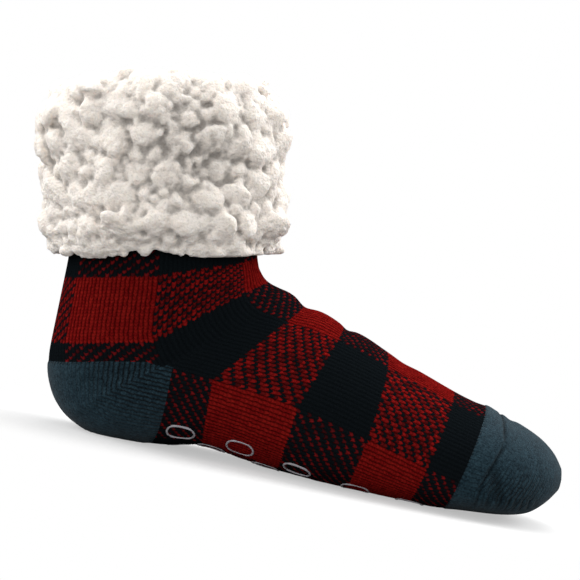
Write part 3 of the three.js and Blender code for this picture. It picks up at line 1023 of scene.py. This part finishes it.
def press_hem(piece):
    """The pile is cut nearly level at the hem, so no curl hangs far below that line."""
    ankle = ANKLE * MM
    limit = HEM_HANG * MM
    for vert in piece.data.vertices:
        from_ankle = vert.co - ankle
        forward = from_ankle.dot(LEAN_ACROSS) / (SHAFT_DEPTH / 2 * MM)
        hem = (HEM_HEIGHT - HEM_SAG + HEM_TILT * max(min(forward, 1), -1)) * MM
        below = hem - from_ankle.dot(LEAN_AXIS)
        if below > 0:
            vert.co += LEAN_AXIS * (below - limit * math.tanh(below / limit))


press_hem(cuff)
print("fleece:", len(cuff.data.polygons), "faces")

# %% [markdown]
# ## The lining
# The same fleece lines the whole foot. It only shows when one looks down into the collar, so it
# is a light mesh: one tube just inside the knit and one a pile's depth further in, joined at the
# top under the cuff's inner side. Noise in its depth stands for the clumps.

# %% Lining of the foot
LINING_AROUND = 120
LINING_ROWS = [(1, 4, 14), (4, 8, 12), (8, 13, 22), (13, 17, 12)]
LINING_PILE = 3.4
LINING_BUMP = 1.1
# share of a lump in one mm, height
LINING_LUMPS = ((0.16, 1), (0.4, 0.5))


def lining_face(depth, bump):
    face = rolled(row_stops(LINING_ROWS), LINING_AROUND)[0]
    close_tube(face)
    places = []
    for vert in face.verts:
        lump = sum(height * noise.noise(vert.co * size) for size, height in LINING_LUMPS)
        places.append(sunk(vert, depth + bump * lump, depth - bump / 2))
    place_all(face, places)
    return face


lining_bm = lining_face(WALL + CLEARANCE, 0)
pile_bm = lining_face(WALL + CLEARANCE + LINING_PILE, LINING_BUMP)
bmesh.ops.reverse_faces(pile_bm, faces=pile_bm.faces)
add_bmesh(lining_bm, pile_bm)
bmesh.ops.bridge_loops(lining_bm, edges=[edge for edge in lining_bm.edges if edge.is_boundary])
lining = to_mesh(lining_bm, "fleece_lining")
print("lining:", len(lining.data.polygons), "faces")

# %% [markdown]
# ## Grips
# Thin rubber ovals are printed under the sole. One ring is spun from a small rounded profile, and
# each of its points is dropped onto the knit from below, so that the print follows the ribs. The
# places come from the CAD model's own grips.

# %% Grips on the sole
GRIP_LENGTH = 13
GRIP_BREADTH = 9
GRIP_LINE = 0.5
GRIP_HEIGHT = 0.5
GRIP_STEPS = 40
GRIP_PROFILE = 8
GRIP_ROUND = 2
GRIP_BED = 0.2
BELOW_SOLE = 10
grip_nodes = sorted(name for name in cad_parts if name.startswith("grip_"))


def knit_tree():
    bm = bmesh.new()
    bm.from_mesh(knit.data)
    tree = BVHTree.FromBMesh(bm)
    bm.free()
    return tree


def printed_oval(centre, out):
    """One ring in metres, laid on the knit round a place on the sole."""
    bm = bmesh.new()
    profile = bmesh.ops.create_circle(bm, segments=GRIP_PROFILE, radius=GRIP_LINE * MM)["verts"]
    bmesh.ops.rotate(bm, verts=profile, matrix=Matrix.Rotation(math.pi / 2, 3, "X"))
    bmesh.ops.translate(bm, verts=profile, vec=(GRIP_BREADTH / 2 * MM, 0, 0))
    bmesh.ops.spin(
        bm, geom=bm.verts[:] + bm.edges[:], cent=(0, 0, 0), axis=(0, 0, 1),
        angle=math.tau, steps=GRIP_STEPS, use_merge=True)
    forward = (Vector((1, 0, 0)) - out * out.x).normalized()
    sideways = out.cross(forward)
    stretch = (GRIP_LENGTH - GRIP_BREADTH) / 2 * MM
    for vert in bm.verts:
        x, y, height = vert.co
        along = x + math.copysign(stretch, x) * min(abs(x) / (GRIP_ROUND * MM), 1)
        start = centre + forward * along + sideways * y + out * BELOW_SOLE * MM
        hit = knit_faces.ray_cast(start, -out)[0] or centre
        lift = max(height * GRIP_HEIGHT / GRIP_LINE, -GRIP_BED * MM)
        vert.co = hit + out * lift
        vert.co.z = max(vert.co.z, 0)
    bmesh.ops.recalc_face_normals(bm, faces=bm.faces)
    return bm


knit_faces = knit_tree()
grips_bm = bmesh.new()
for name in grip_nodes:
    low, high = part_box(name)
    place, out, _, _ = knit_faces.find_nearest((Vector(low) + Vector(high)) / 2)
    add_bmesh(grips_bm, printed_oval(place, out))
bmesh.ops.scale(grips_bm, vec=(1 / MM, 1 / MM, 1 / MM), verts=grips_bm.verts)
grips = to_mesh(grips_bm, "sole_grips")
print("grips:", len(grip_nodes), "ovals,", len(grips.data.polygons), "faces")

# %% [markdown]
# ## The stitch pattern
# A knitted stitch is a small V. The texture coordinates count wales and courses, so the fraction
# of each tells where a point lies in its stitch. From those this group makes the stitch's height,
# the groove round it and the furrow between two wales, which the materials fill with painted
# shade, and its own row and column numbers, which the chart needs next. The Vs are made by
# adding to the course count towards both edges of a wale.

# %% Group of the stitches
RIB_ROUND = 0.6
LOOP_ROUND = 0.5
LEG_RISE = 6
# shares of a stitch's height
STITCH_BASE, LOOP_SHARE, LEG_SHARE = 0.4, 0.35, 0.25


def stitches_group():
    tree, given, result = new_group(
        "knitted stitches", "ShaderNodeTree",
        [("UV", VECTOR, None), ("Slant", FLOAT, 0.5)],
        [("Height", FLOAT), ("Groove", FLOAT), ("Furrow", FLOAT), ("Wale", FLOAT), ("Course", FLOAT)])
    split = put(tree, "ShaderNodeSeparateXYZ", {"Vector": given["UV"]}).outputs
    across = maths(tree, "FRACT", split["X"])
    from_middle = maths(tree, "ABSOLUTE", minus(tree, across, 0.5))
    along = plus(tree, split["Y"], times(tree, times(tree, from_middle, 2), given["Slant"]))
    crown = maths(tree, "ABSOLUTE", maths(tree, "SINE", times(tree, across, math.pi)))
    round_crown = maths(tree, "POWER", crown, RIB_ROUND)
    loop = maths(tree, "SINE", times(tree, maths(tree, "FRACT", along), math.pi))
    leg = times(tree, from_middle, LEG_RISE, clamp=True)
    stitch = plus(tree, STITCH_BASE, times(tree, loop, LOOP_SHARE))
    stitch = plus(tree, stitch, times(tree, leg, LEG_SHARE))
    round_loop = maths(tree, "POWER", loop, LOOP_ROUND)
    fill(tree, result, {
        "Height": times(tree, round_crown, stitch),
        "Groove": minus(tree, 1, times(tree, round_crown, round_loop)),
        "Furrow": minus(tree, 1, crown),
        "Wale": maths(tree, "FLOOR", split["X"]),
        "Course": maths(tree, "FLOOR", along),
    })
    return tree


STITCHES = stitches_group()
print("stitch group:", len(STITCHES.nodes), "nodes")

# %% [markdown]
# ## The check's chart
# The check has blocks of 20 wales by 20 courses. Blocks where a red row meets a red column are
# all red, and black meets black likewise. Where they differ, both yarns take turns: every third
# stitch is in the other colour, one wale further on in each course, which gives the slanting
# pinstripes. Parity by `floor` and `modulo` is all that the chart needs, so no picture is used.

# %% Group of the chart
# how far the blocks are moved; the half stitch keeps whole numbers off a block's edge
WALE_SHIFT = 10.5
COURSE_SHIFT = 0.5


def parity(tree, value, shift):
    block = maths(tree, "FLOOR", maths(tree, "DIVIDE", plus(tree, value, shift), BAND))
    return maths(tree, "FLOORED_MODULO", block, 2)


def chart_group():
    tree, given, result = new_group(
        "check chart", "ShaderNodeTree", [("Wale", FLOAT, 0), ("Course", FLOAT, 0)],
        [("Red", FLOAT), ("Solid", FLOAT), ("Black band", FLOAT)])
    column = parity(tree, given["Wale"], WALE_SHIFT)
    band = parity(tree, given["Course"], COURSE_SHIFT)
    both = plus(tree, given["Wale"], given["Course"])
    third = maths(tree, "LESS_THAN", maths(tree, "FLOORED_MODULO", both, 3), 0.5)
    red_column = minus(tree, 1, column)
    in_red_band = plus(tree, red_column, times(tree, column, minus(tree, 1, third)))
    in_black_band = times(tree, red_column, third)
    red_part = times(tree, minus(tree, 1, band), in_red_band)
    fill(tree, result, {
        "Red": plus(tree, red_part, times(tree, band, in_black_band)),
        "Solid": maths(tree, "COMPARE", column, band, 0.1),
        "Black band": band,
    })
    return tree


CHART = chart_group()
print("chart group:", len(CHART.nodes), "nodes")

# %% [markdown]
# ## Knit materials
# Yarn is fuzzy and matt, so it gets high roughness and hardly any specular light. The heel and
# toe are a heather yarn: dark and light blue-grey fibres spun together, shown by fine noise. It
# also gets a trace of sheen, which brightens it where the surface turns away, as loose fibres
# do. Sheen would turn the check's black yarn grey, so it has none. Each stitch varies a little
# in tone, and a red one between black ones sinks into their shade.

# %% Knit materials
STITCH_SWAY = (0.8, 1.1, 0)
SWAY_SCALE = 420.0
FIBRE_SCALE = 1100.0
FUZZ_SCALE = 1600.0
FUZZ_HEIGHT = 0.5
FOLD_DARKNESS = 0.8
BLACK_RELIEF = 0.35


def principled(name, roughness, specular, sheen, sheen_roughness=0.5):
    """A new material, its node tree and its shader."""
    material = bpy.data.materials.new(name)
    material.use_nodes = True
    tree = material.node_tree
    shader = tree.nodes["Principled BSDF"]
    fill(tree, shader, {
        "Roughness": roughness, "Specular IOR Level": specular,
        "Sheen Weight": sheen, "Sheen Roughness": sheen_roughness,
    })
    return material, tree, shader


def blend_colours(tree, factor, first, second, blend="MIX"):
    """Mixes two colours, each given as a socket or as three numbers."""
    first, second = [(*c, 1) if isinstance(c, tuple) else c for c in (first, second)]
    inputs = {0: factor, 6: first, 7: second}
    return put(tree, "ShaderNodeMix", inputs, data_type="RGBA", blend_type=blend).outputs[2]


def attribute(tree, name):
    return put(tree, "ShaderNodeAttribute", attribute_name=name).outputs["Fac"]


def finish_cloth(tree, shader, colour, brightness, height, strength, depth):
    """Dims the colour by a brightness, and raises the surface by a bump of that depth in mm."""
    grey = put(tree, "ShaderNodeCombineColor", dict.fromkeys(range(3), brightness)).outputs[0]
    bump = {"Height": height, "Strength": strength, "Distance": depth * MM}
    fill(tree, shader, {
        "Base Color": blend_colours(tree, 1.0, colour, grey, "MULTIPLY"),
        "Normal": put(tree, "ShaderNodeBump", bump).outputs["Normal"],
    })


def yarn_base(tree):
    """What both knit materials share: stitches, a tone for each stitch, and fine fuzz."""
    uv = put(tree, "ShaderNodeUVMap", uv_map="stitches").outputs["UV"]
    place = tree.nodes.new("ShaderNodeTexCoord").outputs["Object"]
    sway = noise_at(tree, place, SWAY_SCALE, 3.0, "Color")
    sway = vector_maths(tree, "SUBTRACT", sway, (0.5, 0.5, 0.5))
    uv = vector_maths(tree, "ADD", uv, vector_maths(tree, "MULTIPLY", sway, STITCH_SWAY))
    stitches = put(tree, "ShaderNodeGroup", {"UV": uv}, node_tree=STITCHES).outputs
    cell = put(tree, "ShaderNodeCombineXYZ", {"X": stitches["Wale"], "Y": stitches["Course"]})
    tone = put(tree, "ShaderNodeTexWhiteNoise", {"Vector": cell.outputs[0]}, noise_dimensions="2D")
    return stitches, tone.outputs["Value"], noise_at(tree, place, FUZZ_SCALE, 4.0), place


def finish_knit(tree, shader, colour, stitches, fuzz, depth, shade, furrow_shade, relief=1):
    # Painted shade: the colour is darkened in the grooves round the stitches, in the furrows between
    # wales, and in the toe's seam and gathers.
    groove = times(tree, stitches["Groove"], shade)
    groove = plus(tree, groove, times(tree, stitches["Furrow"], furrow_shade))
    clear = times(tree, attribute(tree, "clearness"), relief)
    lit = minus(tree, 1, times(tree, groove, clear), clamp=True)
    unfolded = minus(tree, 1, times(tree, attribute(tree, "fold"), FOLD_DARKNESS))
    height = times(tree, stitches["Height"], clear)
    height = plus(tree, height, times(tree, fuzz, FUZZ_HEIGHT))
    finish_cloth(tree, shader, colour, times(tree, lit, unfolded), height, 0.8, depth)


def plaid_material():
    material, tree, shader = principled("red and black check", 0.95, 0.0, 0.0)
    stitches, tone, fuzz, _ = yarn_base(tree)
    numbers = {name: stitches[name] for name in ("Wale", "Course")}
    chart_at = put(tree, "ShaderNodeGroup", numbers, node_tree=CHART).outputs
    red = blend_colours(tree, tone, (0.142, 0.0044, 0.0044), (0.196, 0.0078, 0.0062))
    # Painted shade: red stitches set between black ones get a darker copy of the red.
    shaded_red = blend_colours(tree, tone, (0.024, 0.0045, 0.0055), (0.142, 0.007, 0.008))
    mixed_red = blend_colours(tree, tone, (0.046, 0.0045, 0.005), (0.214, 0.007, 0.0065))
    mixed_red = blend_colours(tree, chart_at["Black band"], mixed_red, shaded_red)
    red = blend_colours(tree, minus(tree, 1, chart_at["Solid"]), red, mixed_red)
    black = blend_colours(tree, fuzz, (0.0020, 0.0030, 0.0036), (0.0062, 0.0084, 0.0102))
    colour = blend_colours(tree, chart_at["Red"], black, red)
    relief = plus(tree, BLACK_RELIEF, times(tree, chart_at["Red"], 1 - BLACK_RELIEF))
    finish_knit(
        tree, shader, colour, stitches, fuzz, depth=0.55, shade=0.5, furrow_shade=0.3, relief=relief)
    return material


def plain_material():
    material, tree, shader = principled("blue grey heather", 0.95, 0.05, 0.05)
    stitches, tone, fuzz, place = yarn_base(tree)
    fibres = times(tree, noise_at(tree, place, FIBRE_SCALE, 3.0), 1.3)
    fibres = minus(tree, plus(tree, fibres, times(tree, tone, 0.25)), 0.4, clamp=True)
    colour = blend_colours(tree, fibres, (0.0028, 0.0095, 0.0150), (0.026, 0.056, 0.074))
    finish_knit(tree, shader, colour, stitches, fuzz, depth=0.8, shade=0.25, furrow_shade=0.75)
    return material


def inside_material():
    material, tree, shader = principled("backs of the stitches", 0.95, 0.1, 0.1)
    fill(tree, shader, {"Base Color": (0.06, 0.012, 0.014, 1)})
    return material


for material in (plaid_material(), plain_material(), inside_material()):
    knit.data.materials.append(material)
print("knit slots:", [material.name for material in knit.data.materials])

# %% [markdown]
# ## Fleece and rubber
# The pile glows a little, as light passes through its fibres, so it has some subsurface
# scattering. In the hollows between curls less light returns, and the stored attribute adds
# painted shade there. A round patch in the middle of both sides is darkened with painted shade
# too. The rubber is a smooth pale print with a faint shine.

# %% Fleece and rubber materials
# A round patch of painted shade on the middle of both sides: its centre, its reach and its darkness.
SIDE_SHADE_CENTRE = (0.015, 0, 0.142)
SIDE_SHADE_RADIUS = 0.042
SIDE_SHADE_DEPTH = 0.42
HOLLOW_RANGE = (-0.1, 0.75)
PATCH_SCALE = 60.0
GRAIN_SCALE = 900.0
TUFT_SCALE = 520.0
GRAIN_BASE = 0.62
GRAIN_GAIN = 0.72
PILE_DARK, PILE_LIGHT = (0.92, 0.84, 0.76), (0.93, 0.865, 0.805)
PILE_HOLLOW_SHADE = (0.36, 0.33, 0.30)


def fleece_material(name, hollow_strength):
    material, tree, shader = principled(name, 1.0, 0.1, 0.1, 0.6)
    place = tree.nodes.new("ShaderNodeTexCoord").outputs["Object"]
    fine = noise_at(tree, place, GRAIN_SCALE, 5.0)
    # Painted shade: a round patch on the middle of both sides darkens the pile.
    from_side_shade = vector_maths(tree, "SUBTRACT", place, SIDE_SHADE_CENTRE)
    from_side_shade = vector_maths(tree, "MULTIPLY", from_side_shade, (1, 0, 1))
    away = vector_maths(tree, "LENGTH", from_side_shade, output="Value")
    side_shade = smooth_ramp(tree, away, 0.0, SIDE_SHADE_RADIUS, SIDE_SHADE_DEPTH, 0.0)
    hollow = plus(tree, attribute(tree, "hollow"), side_shade)
    # Painted shade: the hollows between curls and the side patch mix a dark grey into the pile.
    depth = smooth_ramp(tree, hollow, *HOLLOW_RANGE, high=hollow_strength)
    pile = blend_colours(tree, noise_at(tree, place, PATCH_SCALE, 2.0), PILE_DARK, PILE_LIGHT)
    colour = blend_colours(tree, depth, pile, PILE_HOLLOW_SHADE)
    grain = plus(tree, GRAIN_BASE, times(tree, fine, GRAIN_GAIN), clamp=True)
    tufts = put(tree, "ShaderNodeTexVoronoi", {"Vector": place, "Scale": TUFT_SCALE}, feature="SMOOTH_F1")
    dimples = minus(tree, 0.6, tufts.outputs["Distance"])
    height = plus(tree, times(tree, fine, 1.6), dimples)
    finish_cloth(tree, shader, colour, grain, height, 0.75, 0.8)
    fill(tree, shader, {
        "Subsurface Weight": 0.3, "Subsurface Radius": (1.0, 0.85, 0.7), "Subsurface Scale": 4 * MM})
    return material


def rubber_material():
    material, tree, shader = principled("rubber print", 0.5, 0.35, 0)
    fill(tree, shader, {
        "Base Color": (0.30, 0.285, 0.31, 1), "Coat Weight": 0.1, "Coat Roughness": 0.4})
    return material


cuff.data.materials.append(fleece_material("fleece pile", 1.0))
lining.data.materials.append(fleece_material("fleece lining", 0.0))
grips.data.materials.append(rubber_material())
print("fleece and rubber ready")

# %% [markdown]
# ## Pieces and the CAD nodes they stand for
# The sock has no joint, so everything rides on the root body. The knit, the cuff and the grips
# take the place of the CAD solids of the same form, and the lining is added.

# %% Pieces
for piece, slot in ((knit, "knit"), (cuff, "fleece"), (lining, "fleece"), (grips, "grip")):
    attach(piece, "root")
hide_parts("knit_sock")
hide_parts("sherpa_cuff")
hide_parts(*grip_nodes)
print("pieces:", knit.name, cuff.name, lining.name, grips.name)

# %% [markdown]
# ## A white studio
# The photo was taken on a white seamless ground. Broad soft lights to the left, to the right and
# above, all a little behind the sock, brighten its edges and leave its near side darker, and a
# weak, low front light opens the shadows. The floor receives the sock's shadow close by, and
# further away it turns to plain white for the camera, so no horizon shows. For all other rays
# it stays dim, so that it doesn't light the sock from below.

# %% Lights, world and floor
# name, place, watts, size
LIGHTS = [
    ("top", (0.15, 0.4, 1.1), 10.5, 0.9),
    ("left", (-0.95, 0.1, 0.5), 8.5, 0.8),
    ("right", (0.95, 0.3, 0.7), 10.5, 0.8),
    ("front", (-0.3, -1.2, 0.2), 7.0, 0.6),
]
LOOK_AT = Vector((0.07, 0, 0.08))
AMBIENT = 0.72
FLOOR_GLOW = 0.12
SHADOW_LIFT = 0.45
FLOOR_SIZE = 4000
GROUND_GREY = (0.4, 0.4, 0.4, 1)
SHADOW_MIDDLE = (0.095, 0, 0)
SHADOW_SHAPE = (0.5, 1, 1)
SHADOW_FADE = (0.055, 0.12)


def soft_light(name, place, watts, size):
    data = bpy.data.lights.new(name, "AREA")
    data.energy, data.size = watts, size
    light = bpy.data.objects.new(name, data)
    light.location = place
    light.rotation_euler = (LOOK_AT - Vector(place)).to_track_quat("-Z", "Y").to_euler()
    bpy.context.scene.collection.objects.link(light)


def camera_share(tree):
    return tree.nodes.new("ShaderNodeLightPath").outputs["Is Camera Ray"]


def camera_white(tree, ambient):
    """White for the camera, a softer grey for every other ray."""
    return plus(tree, ambient, times(tree, camera_share(tree), 1 - ambient))


def emission(tree, strength):
    return put(tree, "ShaderNodeEmission", {"Strength": strength}).outputs[0]


def studio_floor():
    bm = bmesh.new()
    bmesh.ops.create_grid(bm, x_segments=1, y_segments=1, size=FLOOR_SIZE)
    floor = to_mesh(bm, "floor")
    material = bpy.data.materials.new("white ground")
    material.use_nodes = True
    tree = material.node_tree
    tree.nodes.clear()
    place = tree.nodes.new("ShaderNodeTexCoord").outputs["Object"]
    centred = vector_maths(tree, "SUBTRACT", place, SHADOW_MIDDLE)
    stretched = vector_maths(tree, "MULTIPLY", centred, SHADOW_SHAPE)
    far = vector_maths(tree, "LENGTH", stretched, output="Value")
    ground = put(tree, "ShaderNodeBsdfDiffuse", {"Color": GROUND_GREY}).outputs[0]
    lift = emission(tree, times(tree, camera_share(tree), SHADOW_LIFT))
    near = put(tree, "ShaderNodeAddShader", {0: ground, 1: lift}).outputs[0]
    glow = emission(tree, camera_white(tree, FLOOR_GLOW))
    fade = smooth_ramp(tree, far, *SHADOW_FADE)
    mixed = put(tree, "ShaderNodeMixShader", {0: fade, 1: near, 2: glow}).outputs[0]
    put(tree, "ShaderNodeOutputMaterial", {"Surface": mixed})
    floor.data.materials.append(material)
    return floor


for light in LIGHTS:
    soft_light(*light)
world = bpy.data.worlds.new("studio")
world.use_nodes = True
background = world.node_tree.nodes["Background"]
background.inputs["Color"].default_value = (1, 1, 1, 1)
world.node_tree.links.new(camera_white(world.node_tree, AMBIENT), background.inputs["Strength"])
bpy.context.scene.world = world
bpy.context.scene.view_settings.view_transform = "Standard"
studio_floor()
print("lights:", [light[0] for light in LIGHTS])
